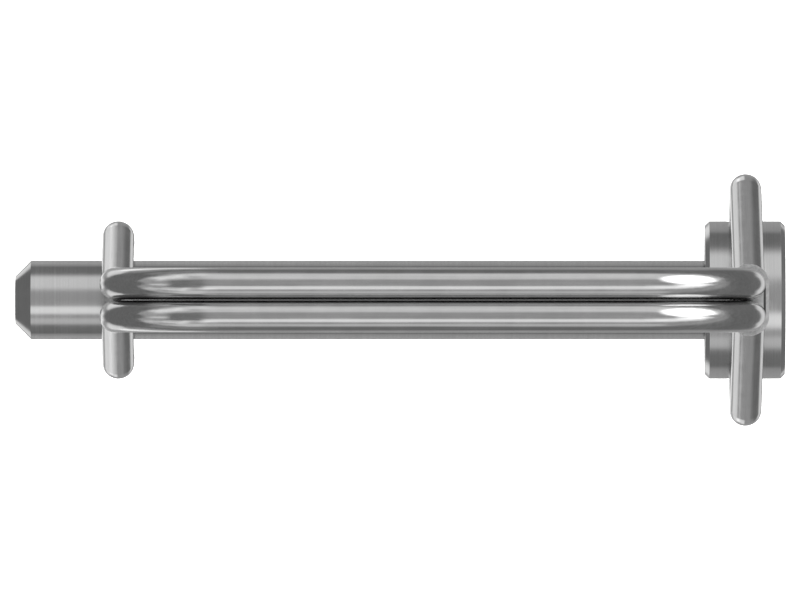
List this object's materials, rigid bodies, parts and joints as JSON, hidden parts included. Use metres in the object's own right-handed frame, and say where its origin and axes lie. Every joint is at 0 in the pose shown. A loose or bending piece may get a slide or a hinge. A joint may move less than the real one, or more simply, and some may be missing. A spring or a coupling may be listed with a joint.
{
  "type": "hitch pin lock",
  "caption": "Headed steel hitch pin with a chamfered tip and a sleeved spring-wire bail that hinges in the head and snaps over the shank near the tip.",
  "frame": {"origin": "centre of the flat face under the head, on the pin's axis", "axes": "+X along the pin's axis to the head, so the tip points to -X; +Z from the shank to the bail's strands; Y along the hole that crosses the head"},
  "size_m": [0.124, 0.0406, 0.0753],
  "materials": {
    "pin_steel": "turned steel, bright zinc plated, satin sheen with fine turning marks",
    "wire_steel": "drawn spring steel wire, bright zinc plated, smooth",
    "sleeve_steel": "pressed mild steel sleeve, zinc plated, matt satin"
  },
  "bodies": {
    "pin": {"pin": "pin_steel"},
    "bail": {"wire_bail": "wire_steel", "strand_sleeve": "sleeve_steel"}
  },
  "joints": [
    {"name": "bail_swing", "type": "hinge", "parent": "pin", "child": "bail", "pos_m": [0.0065, 0, 0], "axis": [0, 1, 0], "range_deg": [0, 220]}
  ]
}
